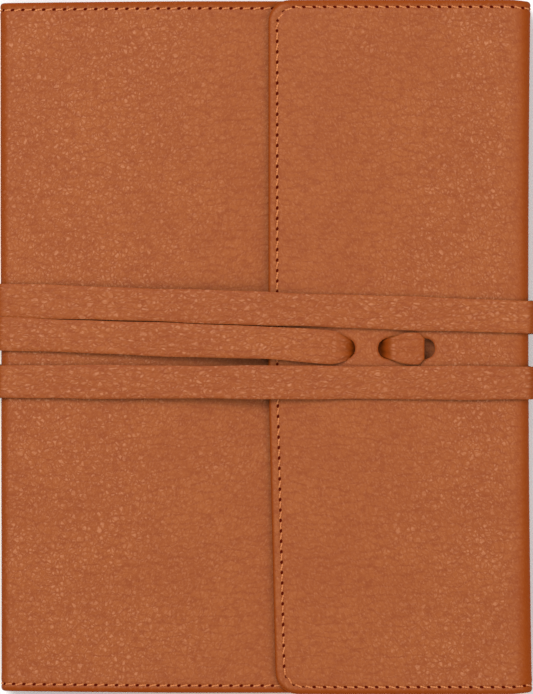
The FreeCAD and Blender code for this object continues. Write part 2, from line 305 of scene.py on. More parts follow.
def slot_distance(x, y):
    """How far a place on the flap is outside the nearest of its two slots; less than 0 inside."""
    nearest = np.full(np.broadcast(x, y).shape, 1.0)
    for start in (LEFT_SLOT_X, RIGHT_SLOT_X):
        nearest = np.minimum(nearest, np.hypot(x - slot_middle(x, start), y - SLOT_Y) - SLOT_RADIUS)
    return nearest


class Sheet:
    """A sheet of constant thickness whose outer face follows a bent path across the cover.

    A place on it is (s, y): s runs along the path from its start, y up the page. normal_side
    turns the path's direction into its outward normal. Beyond fixed_s the rows stretch to reach
    a free edge that may lean and that has round corners. short is how far that edge stops before
    the path's end. end_share makes the distance from it count for less than that from a side, so
    that one relief fits two seam insets. slots says if it has the flap's two slots, and waviness
    how much of the hide's slow waves it follows.
    """

    def __init__(self, path, normal_side, half, thickness, fixed_s=None, corner=0.0, lean=None):
        points = np.array(path, float)
        keep = np.concatenate([[True], np.diff(running_length(points)) > 1e-7])
        self.points = points[keep]
        self.along = running_length(self.points)
        self.length = self.along[-1]
        tangents = np.gradient(self.points, self.along, axis=0)
        tangents /= np.linalg.norm(tangents, axis=1)[:, None]
        self.normals = normal_side * np.stack([-tangents[:, 1], tangents[:, 0]], axis=1)
        self.half, self.thickness, self.corner = half, thickness, corner
        self.fixed_s, self.lean, self.slots = fixed_s, lean, False
        self.short, self.end_share, self.waviness = 0.0, 1.0, 1.0

    def end(self, y):
        """Where the free edge lies on row y, before its corners are rounded."""
        lean = self.lean(y) if self.lean else 0 * y
        return self.length - self.short - lean

    def row(self, s, y):
        """Stretches the even places s so that the row at y ends on the rounded free edge."""
        if self.fixed_s is None:
            return s
        over = np.clip(np.abs(y) - (self.half - self.corner), 0, self.corner)
        cut = self.corner - np.sqrt(np.maximum(self.corner**2 - over**2, 0))
        scale = (self.end(y) - cut - self.fixed_s) / (self.length - self.fixed_s)
        return np.where(s > self.fixed_s, self.fixed_s + (s - self.fixed_s) * scale, s)

    def edge_distance(self, s, y):
        """How far a place is from the sheet's nearest free edge."""
        from_side = self.half - np.abs(y)
        if self.fixed_s is None:
            return from_side
        from_end = (self.end(y) - s) * self.end_share
        reach = self.corner
        in_corner = (from_side < reach) & (from_end < reach)
        rounded = reach - np.hypot(reach - from_side, reach - from_end)
        return np.where(in_corner, rounded, np.minimum(from_side, from_end))

    def place(self, s, y, offset):
        """The point that is offset outside the outer face at (s, y)."""
        s, y, offset = np.broadcast_arrays(s, y, offset)
        x = np.interp(s, self.along, self.points[:, 0])
        z = np.interp(s, self.along, self.points[:, 1])
        normal_x = np.interp(s, self.along, self.normals[:, 0])
        normal_z = np.interp(s, self.along, self.normals[:, 1])
        size = np.hypot(normal_x, normal_z)
        normal_x, normal_z = normal_x / size, normal_z / size
        inland = self.waviness * smooth(np.abs(x), PANEL_CALM, PANEL_CALM - 14 * MM)
        lift = offset + undulation(x, y) * inland * smooth(self.half - np.abs(y), 2 * MM, 14 * MM)
        x = x + normal_x * lift
        z = z + normal_z * lift - (droop(x, y) if self.lean else 0)
        x = x + spine_shift(y) * smooth(-x, 60 * MM, 80 * MM)
        x = x + fore_edge_shift(y) * smooth(x, 60 * MM, 80 * MM)
        y = y * (1 - taper(x) / COVER_HALF)
        return np.stack([x, y, z], axis=-1)


def beside(sheet, centre, ahead, along, side, height):
    """The points along and to the side of a place (s, y) on a sheet, as seen looking ahead."""
    s = centre[0] + ahead[0] * along - ahead[1] * side
    y = centre[1] + ahead[1] * along + ahead[0] * side
    return sheet.place(s, y, height)


def hide_relief(distance):
    """Height of the hide near its edge: rounded over, with the seam pulled down in a groove."""
    t = 1 - np.clip(distance / ROLL, 0, 1)
    roll = -ROLL_DROP * (1 - np.sqrt(1 - t * t))
    groove = -GROOVE_DEPTH * bell(distance, SEAM_INSET, GROOVE_WIDTH)
    swell = 0.08 * MM * bell(distance, SEAM_INSET + 1.7 * MM, 0.9 * MM)
    lip = 0.08 * MM * bell(distance, SEAM_INSET - 1.0 * MM, 0.5 * MM)
    return roll + groove + swell + lip


def grid_places(sheet):
    """The (s, y) grid of a sheet, fine near its edges and round its slots."""
    half, end = sheet.half, sheet.length
    y_fine = [(-half, -half + FINE_BAND), (half - FINE_BAND, half)]
    s_fine = [(end - FINE_BAND, end)]
    if sheet.slots:
        y_fine.append((SLOT_Y - SLOT_RADIUS - 1 * MM, SLOT_Y + SLOT_RADIUS + 1 * MM))
        far = end + sheet.points[-1, 0]
        s_fine.append((far - RIGHT_SLOT_X - SLOT_LENGTH - 1 * MM, far - LEFT_SLOT_X + 1 * MM))
    y = steps(-half, half, y_fine)
    if sheet.fixed_s is None:
        flat = np.arange(0, end, COARSE_STEP)
        s = np.unique(np.round(np.concatenate([flat, sheet.along]), 7))
    else:
        bent = sheet.along[sheet.along < sheet.fixed_s - 0.1 * MM]
        s = np.concatenate([bent, steps(sheet.fixed_s, end, s_fine)])
    s, y = np.meshgrid(s, y)
    return sheet.row(s, y), y


def snap_to_slots(sheet, s, y):
    """Moves the places nearest to a slot's outline on to it, and gives how far each is outside."""
    x = sheet.place(s, y, 0)[..., 0]
    outside = slot_distance(x, y)
    near = np.abs(outside) <= SNAP
    for start in (LEFT_SLOT_X, RIGHT_SLOT_X):
        away_x, away_y = x - slot_middle(x, start), y - SLOT_Y
        away = np.maximum(np.hypot(away_x, away_y), 1e-9)
        this = near & (np.abs(away - SLOT_RADIUS - outside) < 1e-9)
        s = np.where(this, s + outside * away_x / away, s)
        y = np.where(this, y - outside * away_y / away, y)
    return s, y, np.where(near, 0, outside)


def sheet_object(name, sheet, relief, inner_relief, materials):
    """The sheet's closed mesh.

    relief and inner_relief give the height of its two faces by the distance from the edge. The
    materials are those of its outer face, its inner face, its edge and its slots' edges.
    """
    s, y = grid_places(sheet)
    outside = np.full(s.shape, 1.0)
    if sheet.slots:
        s, y, outside = snap_to_slots(sheet, s, y)
    distance = sheet.edge_distance(s, y)
    slot_roll = SLOT_ROLL * smooth(outside, 0.9 * MM, 0)
    outer = sheet.place(s, y, relief(distance) - slot_roll).reshape(-1, 3)
    inner = sheet.place(s, y, inner_relief(distance) - sheet.thickness).reshape(-1, 3)
    quads = grid_faces(*s.shape)
    quads = quads[~(outside.ravel()[quads] < -SNAP).any(axis=1)]
    faces, rim = shell_faces(quads, len(outer))
    in_slot = outside.ravel()[rim] < SNAP
    across = outer[:, 0].reshape(s.shape)
    # Painted shade where the hide rolls away from the light: its edges, the spine and fore-edge turns
    # and the rims of the slots.
    painted_shade_parts = (
        smooth(distance, 0.9 * MM, 0.1 * MM),
        smooth(sheet.half - np.abs(y), 2.4 * MM, 0.7 * MM),
        smooth(across, FORE_EDGE_TURN - 5 * MM, FORE_EDGE_TURN),
        smooth(-across, SPINE_TURN - 3 * MM, SPINE_TURN),
        0.8 * smooth(outside, 0.8 * MM, 0),
    )
    painted_shade = np.max(painted_shade_parts, axis=0).ravel()
    points = np.concatenate([outer, inner])
    kinds = [0] * len(quads) + [1] * len(quads) + [3 if slot else 2 for slot in in_slot]
    uv = np.stack([s, y], axis=-1).reshape(-1, 2)
    both = np.concatenate([uv, uv])
    obj = make_object(name, points, faces, both, materials, kinds, np.concatenate([painted_shade, painted_shade]))
    return close_up(obj)


# ---------------------------------------------------------------- seams
def seam_line(sheet, start_s, inset_side, inset_end):
    """The (s, y) line of a seam: up one side, round the free edge and back along the other."""
    top = sheet.half - inset_side
    if sheet.fixed_s is None:
        return [np.array([[start_s, y], [sheet.length, y]]) for y in (top, -top)]
    radius = sheet.corner - 0.5 * MM
    line = [(start_s, top)]
    for y in top * np.sin(np.linspace(math.pi / 2, -math.pi / 2, 800)):
        over = max(abs(y) - (top - radius), 0)
        cut = radius - math.sqrt(max(radius**2 - over**2, 0))
        line.append((float(sheet.end(np.array(y))) - inset_end - cut, y))
    line.append((start_s, -top))
    return [np.array(line)]


def stations(line, pitch):
    """Evenly spaced places along a line, with the direction there."""
    along = running_length(line)
    count = int(along[-1] / pitch)
    at = (along[-1] - (count - 1) * pitch) / 2 + pitch * np.arange(count)
    direction = along_line(at + 0.2 * MM, along, line) - along_line(at - 0.2 * MM, along, line)
    return along_line(at, along, line), direction / np.linalg.norm(direction, axis=1)[:, None]


def stitches(name, sheet, lines, material, inner=False):
    """Two-ply stitches along the seam lines, each diving into its needle holes at both ends."""
    rings, sides = 9, 6
    tube = tube_faces(rings, sides)
    u = np.linspace(-0.5, 0.5, rings)
    around = np.linspace(0, 2 * math.pi, sides, endpoint=False)
    arch = 0.1 * MM - 0.42 * MM * smooth(np.abs(u), 0.3, 0.52)
    points, faces, uvs = [], [], []
    for line in lines:
        here, direction = stations(line, STITCH_PITCH)
        for number, (centre, ahead) in enumerate(zip(here, direction)):
            slant = math.radians(9 + 5 * math.sin(number * 2.4))
            cos, sin = math.cos(slant), math.sin(slant)
            ahead = np.array([ahead[0] * cos - ahead[1] * sin, ahead[0] * sin + ahead[1] * cos])
            for ply in (0, math.pi):
                twist = 2 * math.pi * 1.5 * u + ply
                side = 0.15 * MM * np.cos(twist)[:, None] + PLY_RADIUS * np.cos(around)[None, :]
                height = 0.11 * MM * np.sin(twist)[:, None] + PLY_RADIUS * np.sin(around)[None, :]
                height = height + arch[:, None]
                run = u[:, None] * STITCH_LENGTH + 0 * side
                if inner:
                    height = -sheet.thickness - height
                else:
                    height = height - GROOVE_DEPTH + 0.1 * MM
                faces.append(tube + len(points) * rings * sides)
                points.append(beside(sheet, centre, ahead, run, side, height).reshape(-1, 3))
                uvs.append(np.stack([run.ravel(), np.tile(around, rings) * MM], axis=1))
    return make_object(
        name, np.concatenate(points), np.concatenate(faces), np.concatenate(uvs), [material]
    )


def needle_holes(name, sheet, lines, material):
    """The punched holes between the stitches as painted shade: small dark pits, drawn out along the
    seam.
    """
    segments = 12
    around = np.linspace(0, 2 * math.pi, segments, endpoint=False)
    points, faces = [], []
    for line in lines:
        here, direction = stations(line, STITCH_PITCH)
        here = here + direction * STITCH_PITCH / 2
        for centre, ahead in zip(here, direction):
            along = 0.6 * MM * np.cos(around)
            side = 0.42 * MM * np.sin(around) + 0.15 * along
            floor_height = HOLE_LIFT - GROOVE_DEPTH * bell(side, 0, GROOVE_WIDTH)
            rim = beside(sheet, centre, ahead, along, side, floor_height)
            middle = sheet.place(centre[0], centre[1], HOLE_LIFT - GROOVE_DEPTH)
            first = len(points) * (segments + 1)
            points.append(np.concatenate([rim, middle[None, :]]))
            faces += [
                (first + i, first + (i + 1) % segments, first + segments) for i in range(segments)
            ]
    return make_object(name, np.concatenate(points), faces, None, [material])


# ---------------------------------------------------------------- materials
def new_material(name):
    """A material with only its surface shader. Returns it with its node tree and that shader."""
    material = bpy.data.materials.new(name)
    material.use_nodes = True
    tree = material.node_tree
    shader = tree.nodes["Principled BSDF"]
    return material, tree, shader


def node(tree, kind, **settings):
    """A new node, with settings given by attribute name or, for inputs, by a dict."""
    made = tree.nodes.new(kind)
    inputs = settings.pop("inputs", {})
    for key, value in settings.items():
        setattr(made, key, value)
    for key, value in inputs.items():
        if isinstance(value, bpy.types.NodeSocket):
            tree.links.new(value, made.inputs[key])
        else:
            made.inputs[key].default_value = value
    return made


def maths(tree, operation, first, second=0.0, clamp=False):
    """One maths step on numbers or sockets."""
    inputs = {0: first, 1: second}
    return node(tree, "ShaderNodeMath", operation=operation, use_clamp=clamp, inputs=inputs).outputs[0]


def times(tree, first, second):
    """Two numbers or sockets multiplied."""
    return maths(tree, "MULTIPLY", first, second)


def vector_maths(tree, operation, first, second):
    """One maths step on vectors."""
    made = node(tree, "ShaderNodeVectorMath", operation=operation, inputs={0: first, 1: second})
    return made.outputs[0]


def ramp(tree, value, low, high, to_low=0.0, to_high=1.0):
    """value eased from low..high to to_low..to_high."""
    made = node(
        tree,
        "ShaderNodeMapRange",
        interpolation_type="SMOOTHSTEP",
        inputs={"Value": value, "From Min": low, "From Max": high, "To Min": to_low, "To Max": to_high},
    )
    return made.outputs["Result"]


def mix_colour(tree, factor, first, second):
    """Two colours mixed by a factor; each is a socket or an (r, g, b)."""
    made = node(tree, "ShaderNodeMix", data_type="RGBA")
    for key, value in ((0, factor), (6, first), (7, second)):
        if isinstance(value, bpy.types.NodeSocket):
            tree.links.new(value, made.inputs[key])
        elif key == 0:
            made.inputs[key].default_value = value
        else:
            made.inputs[key].default_value = (*value, 1)
    return made.outputs[2]


def srgb(red, green, blue):
    """Screen colour (0 to 255) as linear light."""
    return tuple(
        c / 255 / 12.92 if c / 255 <= 0.04045 else ((c / 255 + 0.055) / 1.055) ** 2.4
        for c in (red, green, blue)
    )


def give_relief(tree, shader, height, strength, depth):
    """Raises the surface where height is near 1, by up to depth."""
    bump = node(
        tree, "ShaderNodeBump", inputs={"Height": height, "Strength": strength, "Distance": depth}
    )
    tree.links.new(bump.outputs[0], shader.inputs["Normal"])


def surface_coordinates(tree, stretch=(1.0, 1.0)):
    """Millimetres along the sheet, from its UV map, squeezed by stretch."""
    uv = node(tree, "ShaderNodeUVMap", uv_map="surface").outputs[0]
    return vector_maths(tree, "MULTIPLY", uv, (stretch[0] / MM, stretch[1] / MM, 1))


def noise(tree, vector, scale, detail=2.0, roughness=0.5):
    """Soft noise between 0 and 1."""
    made = node(
        tree,
        "ShaderNodeTexNoise",
        inputs={"Vector": vector, "Scale": scale, "Detail": detail, "Roughness": roughness},
    )
    return made.outputs["Fac"]


def cells(tree, vector, scale, feature, output):
    """One output of a cell pattern."""
    made = node(
        tree,
        "ShaderNodeTexVoronoi",
        feature=feature,
        inputs={"Vector": vector, "Scale": scale, "Randomness": 1.0},
    )
    return made.outputs[output]


def warped(tree, vector, scale, amount):
    """The coordinates pushed about by noise, so that cells lose their straight sides."""
    push = node(
        tree, "ShaderNodeTexNoise", inputs={"Vector": vector, "Scale": scale, "Detail": 2.0}
    ).outputs["Color"]
    centred = vector_maths(tree, "SUBTRACT", push, (0.5, 0.5, 0.5))
    return vector_maths(tree, "ADD", vector, vector_maths(tree, "MULTIPLY", centred, (amount,) * 3))


def pebbles(tree, flat, bent, grain):
    """Large and small cells over each other, as a crumpled hide shows them.

    Gives the creases between the large ones, how much each pebble's top catches the light, and
    how high each pebble stands.
    """
    large, small = 1 / grain, 1.45 / grain
    large_top = ramp(tree, cells(tree, bent, large, "DISTANCE_TO_EDGE", "Distance"), 0.02, 0.15)
    small_top = ramp(tree, cells(tree, bent, small, "DISTANCE_TO_EDGE", "Distance"), 0.05, 0.26)
    tops = times(tree, large_top, small_top)
    large_pick = cells(tree, bent, large, "F1", "Color")
    small_pick = cells(tree, bent, small, "F1", "Color")
    choice = node(tree, "ShaderNodeSeparateColor", inputs={0: large_pick}).outputs
    small_choice = node(tree, "ShaderNodeSeparateColor", inputs={0: small_pick}).outputs[0]
    # Painted highlight: how much light each pebble top catches, in uneven patches.
    lit = ramp(tree, small_choice, 0.0, 0.55, 0.25, 1.0)
    lit = times(tree, lit, ramp(tree, choice[0], 0.0, 0.5, 0.7, 1.0))
    patch = ramp(tree, noise(tree, flat, 0.09, 2.0), 0.3, 0.6, 0.8, 1.0)
    highlight_patches = ramp(tree, noise(tree, flat, 0.9, 4.0, 0.7), 0.38, 0.6, 0.25, 1.0)
    catching = times(tree, times(tree, tops, times(tree, lit, patch)), highlight_patches)
    stand = maths(tree, "ADD", times(tree, tops, 0.75), times(tree, choice[1], 0.2))
    return maths(tree, "SUBTRACT", 1.0, large_top), catching, stand


def pebble_strength(tree, flat, calm, bare):
    """How strong the pebbles and their painted highlights are along the sheet, from 0 to 1."""
    if not calm:
        return 1.0
    along = node(tree, "ShaderNodeSeparateXYZ", inputs={0: flat}).outputs[0]
    wander = ramp(tree, noise(tree, flat, 0.035, 2.0), 0.3, 0.7, -16.0, 16.0)
    strength = ramp(tree, maths(tree, "ADD", along, wander), *calm, 1.0, 0.22)
    if bare:
        place = maths(tree, "ADD", along, times(tree, wander, 0.15))
        strength = times(tree, strength, ramp(tree, place, bare - 4, bare + 5))
    return strength


def slanting_flecks(tree, flat):
    """Short pale strokes that lean across the hide."""
    inputs = {"Vector": flat, "Angle": STROKE_SLANT}
    turned = node(tree, "ShaderNodeVectorRotate", rotation_type="Z_AXIS", inputs=inputs).outputs[0]
    drawn = vector_maths(tree, "MULTIPLY", turned, (1.0, 0.4, 1.0))
    return ramp(tree, noise(tree, drawn, 2.0, 4.0, 0.65), 0.5, 0.72, 0.0, 0.36)


def leather(name, pale, middle, dark, grain, stretch=(1.0, 1.0), calm=None, bump=0.5, bare=None):
    """Pebbled full-grain leather.

    pale is the painted highlight on the flat pebble tops, also the colour of the pale strokes, middle
    the ground between them, and dark the colour of the random clouding and of the painted shade in
    creases and wrinkles. grain is the pebble size in millimetres. calm, where given, is (start, end) in
    millimetres along the sheet: over that stretch the pebbles and their painted highlights fade, and
    fine wrinkles take their place. bare is where along the sheet the smooth, stretched skin of a fold
    gives way to pebbles. A float attribute of the mesh paints shade on folds and edges, and past 1
    deeper painted shade where the strap dives into a slot.
    """
    material, tree, shader = new_material(name)
    flat = surface_coordinates(tree, stretch)
    bent = warped(tree, flat, 0.6 / grain, 0.9 * grain)
    crease, catching, stand = pebbles(tree, flat, bent, grain)
    strength = pebble_strength(tree, flat, calm, bare)
    catching = times(tree, catching, strength)
    drawn = vector_maths(tree, "MULTIPLY", bent, (0.3, 1.0, 1.0))
    wrinkle = ramp(tree, cells(tree, drawn, 0.75 / grain, "DISTANCE_TO_EDGE", "Distance"), 0.0, 0.16)
    broken = ramp(tree, noise(tree, drawn, 0.8, 3.0), 0.42, 0.6, 0.1, 0.75)
    painted_shade = node(tree, "ShaderNodeAttribute", attribute_name="painted_shade").outputs["Fac"]

    cloud = ramp(tree, noise(tree, flat, 0.05, 3.0), 0.35, 0.65, 0.0, 0.3)
    tone = mix_colour(tree, cloud, middle, dark)
    # Painted shade in the creases and fine wrinkles, then painted highlight on the pebble tops.
    tone = mix_colour(tree, times(tree, crease, 0.4), tone, dark)
    tone = mix_colour(tree, times(tree, maths(tree, "SUBTRACT", 1.0, wrinkle), broken), tone, dark)
    tone = mix_colour(tree, times(tree, catching, 0.62), tone, pale)
    tone = mix_colour(tree, slanting_flecks(tree, flat), tone, pale)
    # Painted shade on folds and edges, and deeper painted shade where the strap dives into a slot.
    tone = mix_colour(tree, maths(tree, "MULTIPLY", painted_shade, 0.85, clamp=True), tone, PAINTED_FOLD_SHADE)
    tone = mix_colour(tree, ramp(tree, painted_shade, 1.0, 2.0, 0.0, 0.8), tone, PAINTED_SLOT_SHADE)
    tree.links.new(tone, shader.inputs["Base Color"])
    rough = maths(tree, "SUBTRACT", 0.62, times(tree, catching, 0.17))
    tree.links.new(rough, shader.inputs["Roughness"])
    tree.links.new(ramp(tree, painted_shade, 0.0, 1.0, 0.3, 0.05), shader.inputs["Specular IOR Level"])

    height = maths(tree, "ADD", times(tree, stand, strength), times(tree, wrinkle, 0.45))
    height = maths(tree, "ADD", height, times(tree, noise(tree, drawn, 1.6, 4.0, 0.6), 0.5))
    height = times(tree, height, ramp(tree, painted_shade, 0.0, 1.0, 1.0, 0.2))
    give_relief(tree, shader, height, bump, 0.14 * MM)
    return material


def plain(name, colour, other, scale, roughness, bump=0.2, distance=0.05, gloss=0.4):
    """A fibrous material: two tones in fine noise, with the same noise as its relief."""
    material, tree, shader = new_material(name)
    where = node(tree, "ShaderNodeTexCoord").outputs["Object"]
    where = vector_maths(tree, "MULTIPLY", where, (1 / MM,) * 3)
    fibre = noise(tree, where, scale, 5.0, 0.65)
    tone = mix_colour(tree, ramp(tree, fibre, 0.3, 0.7), colour, other)
    tree.links.new(tone, shader.inputs["Base Color"])
    shader.inputs["Roughness"].default_value = roughness
    shader.inputs["Specular IOR Level"].default_value = gloss
    give_relief(tree, shader, fibre, bump, distance * MM)
    return material


# PALE is painted highlight on the pebble tops and the colour of the pale strokes; DEEP is the random
# clouding and the painted shade in creases and wrinkles.
PALE = srgb(196, 127, 86)
TAN = srgb(156, 80, 27)
DEEP = srgb(140, 62, 12)
# Painted shade: on folds and edges, and deeper where the strap dives into a slot.
PAINTED_FOLD_SHADE = srgb(138, 58, 9)
PAINTED_SLOT_SHADE = srgb(72, 26, 0)
hide_cover = leather("cover_hide", PALE, TAN, DEEP, 2.1, calm=(50, 105))
hide_flap = leather("flap_hide", PALE, TAN, DEEP, 2.1, calm=(28, 66), bare=14)
hide_back = leather("back_hide", PALE, TAN, DEEP, 2.1)
strap_hide = leather("strap_hide", PALE, TAN, DEEP, 1.9, stretch=(0.6, 1.0), bump=0.8)
suede = plain("suede", srgb(74, 66, 58), srgb(54, 48, 43), 3.0, 0.95, 0.5, 0.08)
lining_face = plain("lining_face", srgb(84, 58, 42), srgb(62, 42, 30), 2.4, 0.85, 0.5, 0.08)
suede_pocket = plain("pocket_suede", srgb(96, 68, 48), srgb(72, 50, 36), 2.4, 0.9, 0.5, 0.08)
cut_edge = plain("cut_edge", srgb(70, 66, 60), srgb(48, 44, 40), 4.0, 0.8)
hide_edge = plain("hide_edge", srgb(120, 62, 30), srgb(88, 44, 24), 3.0, 0.75)
thread = plain("waxed_thread", srgb(228, 152, 90), srgb(180, 88, 38), 3.0, 0.45, 0.3)
# Painted shade: the needle holes' depth is drawn as this dark colour on shallow dishes.
hole_shade = plain("needle_hole", srgb(92, 14, 0), srgb(70, 8, 0), 3.0, 1.0, gloss=0.05)
kraft = plain("kraft_card", srgb(150, 116, 82), srgb(128, 96, 66), 2.0, 0.85)
grey_board = plain("grey_board", srgb(150, 146, 138), srgb(128, 124, 116), 1.5, 0.9)
book_cloth = plain("book_cloth", srgb(52, 46, 42), srgb(30, 27, 25), 2.4, 0.9, 0.6, 0.1)


def paper():
    """Cream paper; on the block's edges the leaves show as fine lines."""
    material, tree, shader = new_material("page_paper")
    where = node(tree, "ShaderNodeTexCoord").outputs["Object"]
    height = node(tree, "ShaderNodeSeparateXYZ", inputs={0: where}).outputs[2]
    wander = noise(tree, where, 60.0, 2.0)
    leaves = times(tree, height, 2 * math.pi / LEAF_PITCH)
    leaves = maths(tree, "SINE", maths(tree, "ADD", leaves, times(tree, wander, 9.0)))
    normal = node(tree, "ShaderNodeNewGeometry").outputs["Normal"]
    facing = node(tree, "ShaderNodeSeparateXYZ", inputs={0: normal}).outputs[2]
    upright = ramp(tree, maths(tree, "ABSOLUTE", facing), 0.3, 0.8, 1.0, 0.0)
    lines = times(tree, ramp(tree, leaves, -0.2, 0.9), upright)
    fibre = ramp(tree, noise(tree, where, 900.0, 4.0), 0.3, 0.7)
    tone = mix_colour(tree, fibre, srgb(218, 208, 186), srgb(208, 197, 172))
    tone = mix_colour(tree, times(tree, lines, 0.55), tone, srgb(160, 142, 112))
    tree.links.new(tone, shader.inputs["Base Color"])
    shader.inputs["Roughness"].default_value = 0.85
    give_relief(tree, shader, leaves, 0.3, 0.05 * MM)
    return material


page_paper = paper()


# ---------------------------------------------------------------- the hide and its lining
def rounded(corners, radius):
    """A line through these (x, z) corners, with every inner corner rounded."""
    path = [corners[0]]
    for before, corner, after in zip(corners, corners[1:], corners[2:]):
        corner = Vector(corner)
        back = (Vector(before) - corner).normalized()
        ahead = (Vector(after) - corner).normalized()
        half = back.angle(ahead) / 2
        reach = radius / math.tan(half)
        centre = corner + (back + ahead).normalized() * radius / math.sin(half)
        start = corner + back * reach - centre
        end = corner + ahead * reach - centre
        turn = start.angle_signed(end)
        for share in np.linspace(0, 1, 13):
            spun = start.copy()
            spun.rotate(Matrix.Rotation(-turn * share, 2))
            path.append(tuple(centre + spun))
    path.append(corners[-1])
    return path


def flap_lean(y):
    """How far the flap's free edge stands short of its furthest reach: its lower half leans."""
    return FLAP_LEAN * np.clip((LEAN_START - y) / (FLAP_HALF + LEAN_START), 0, 1)


def wrap(inset):
    """Front panel and spine: from under the spine, round it and over to the free edge."""
    low, high, left = BACK_LOW.z + inset, FRONT_HIGH.z - inset, SPINE_LOW.x + inset
    return rounded([(UNDER_X, low), (left, low), (left, high), (FRONT_HIGH.x, high)], FOLD - inset)


def tray(inset, side_inset):
    """Back panel and the lower half of the fore-edge."""
    low, right = BACK_LOW.z + inset, EDGE_HIGH.x - side_inset
    return rounded([(UNDER_X, low), (right, low), (right, SPLIT_Z)], FOLD - side_inset)


def closing_flap(inset):
    """The upper half of the fore-edge and the flap."""
    high, right = FLAP_HIGH.z - inset, EDGE_HIGH.x - inset
    return rounded([(right, SPLIT_Z), (right, high), (FLAP_LOW.x, high)], FOLD - inset)


def no_relief(distance):
    """A plain face."""
    return 0 * distance


def hide_inside(distance):
    """The flesh side lifts a little where the edge rolls, so that the edge thins."""
    return 0.15 * MM * smooth(distance, ROLL, 0)


def lining_out(distance):
    """The lining rises to the hide round the edge, where no board keeps them apart."""
    return (BOARD - 0.3 * MM) * smooth(distance, 4.5 * MM, 1.5 * MM)


cover_sheet = Sheet(wrap(0), 1, COVER_HALF, HIDE, fixed_s=COVER_FIXED_S, corner=COVER_CORNER)
back_sheet = Sheet(tray(0, 0), -1, COVER_HALF, HIDE)
leaning = {"fixed_s": FLAP_FIXED_S, "lean": flap_lean}
flap_sheet = Sheet(closing_flap(0), -1, FLAP_HALF, HIDE, corner=FLAP_CORNER, **leaning)
flap_sheet.slots = True
flap_sheet.end_share = SEAM_INSET / FLAP_SEAM_INSET
lining_half = COVER_HALF - LINING_MARGIN
lining_corner = COVER_CORNER - LINING_MARGIN
cover_lining = Sheet(
    wrap(HIDE + BOARD), 1, lining_half, LINING, fixed_s=COVER_FIXED_S, corner=lining_corner
)
cover_lining.short = LINING_MARGIN
back_lining = Sheet(tray(HIDE + BOARD, HIDE), -1, lining_half, LINING)
flap_lining_half = FLAP_HALF - FLAP_LINING_MARGIN
flap_lining_corner = FLAP_CORNER - FLAP_LINING_MARGIN
flap_lining = Sheet(
    closing_flap(HIDE), -1, flap_lining_half, LINING, corner=flap_lining_corner, **leaning
)
flap_lining.slots = True
flap_lining.short = FLAP_LINING_MARGIN
for lining_sheet in (cover_lining, back_lining, flap_lining):
    lining_sheet.waviness = 0.0


def bend_cover(obj):
    """Bakes the transform of a piece that runs from the spine on to the front panel."""
    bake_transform(obj)


def bend_edge(obj):
    """Bakes the transform of a piece that runs from the back panel on to the fore-edge strip."""
    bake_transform(obj)


def bend_flap(obj):
    """Bakes the transform of a piece that runs from the fore-edge strip on to the flap."""
    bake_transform(obj)


def shell(name, sheet, reliefs, materials, bend, finish, *nodes):
    """A sheet's mesh, bent over its fold, hiding the nodes it stands for; finish is not used."""
    piece = sheet_object(name, sheet, *reliefs, materials)
    bend(piece)
    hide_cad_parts(*nodes)


def sew(name, hide, hide_seam, lining, lining_seam, bend, *nodes):
    """A row of stitches: its outside and inside threads, and the holes between them outside."""
    outside = stitches(name + "_stitches", hide, hide_seam, thread)
    within = stitches(name + "_inner_stitches", lining, lining_seam, thread, inner=True)
    holes = needle_holes(name + "_holes", hide, hide_seam, hole_shade)
    for obj, finish in ((outside, "thread"), (within, "thread"), (holes, "hide")):
        bend(obj)
    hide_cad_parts(*nodes)


hide_reliefs = (hide_relief, hide_inside)
hide_parts = (
    ("hide_front_and_spine", cover_sheet, hide_cover, bend_cover, "front_leather", "spine_leather"),
    ("hide_back_and_fore_edge", back_sheet, hide_back, bend_edge, "back_leather", "fore_edge_leather"),
    ("hide_flap", flap_sheet, hide_flap, bend_flap, "flap_leather"),
)
for name, sheet, skin, bend, *nodes in hide_parts:
    shell(name, sheet, hide_reliefs, [skin, suede, hide_edge, cut_edge], bend, "hide", *nodes)
lining_parts = (
    ("lining_front_and_spine", cover_lining, lining_out, bend_cover, "front_lining", "spine_lining"),
    ("lining_back_and_fore_edge", back_lining, lining_out, bend_edge, "back_lining", "fore_edge_lining"),
    ("lining_flap", flap_lining, no_relief, bend_flap, "flap_lining"),
)
for name, sheet, relief, bend, *nodes in lining_parts:
    kinds = [suede, lining_face, cut_edge, cut_edge]
    shell(name, sheet, (relief, no_relief), kinds, bend, "lining", *nodes)

cover_seam = seam_line(cover_sheet, 3 * MM, SEAM_INSET, SEAM_INSET)
back_seam = seam_line(back_sheet, 6 * MM, SEAM_INSET, 0)
flap_seam = seam_line(flap_sheet, 1 * MM, SEAM_INSET, FLAP_SEAM_INSET)
inner_inset = SEAM_INSET - LINING_MARGIN
inner_y = lining_half - inner_inset
cover_inner_seam = seam_line(cover_lining, 21 * MM, inner_inset, inner_inset)
cover_inner_seam += [np.array([[4.5 * MM, y], [13 * MM, y]]) for y in (-inner_y, inner_y)]
back_inner_seam = seam_line(back_lining, 6 * MM, inner_inset, 0)
flap_inner_seam = seam_line(
    flap_lining, 1 * MM, SEAM_INSET - FLAP_LINING_MARGIN, FLAP_SEAM_INSET - FLAP_LINING_MARGIN
)
cover_rows = (cover_sheet, cover_seam, cover_lining, cover_inner_seam)
back_rows = (back_sheet, back_seam, back_lining, back_inner_seam)
flap_rows = (flap_sheet, flap_seam, flap_lining, flap_inner_seam)
sew("cover_seam", *cover_rows, bend_cover, "front_stitching", "spine_stitching")
sew("back_seam", *back_rows, bend_edge, "back_stitching", "fore_edge_stitching")
sew("flap_seam", *flap_rows, bend_flap, "flap_stitching")


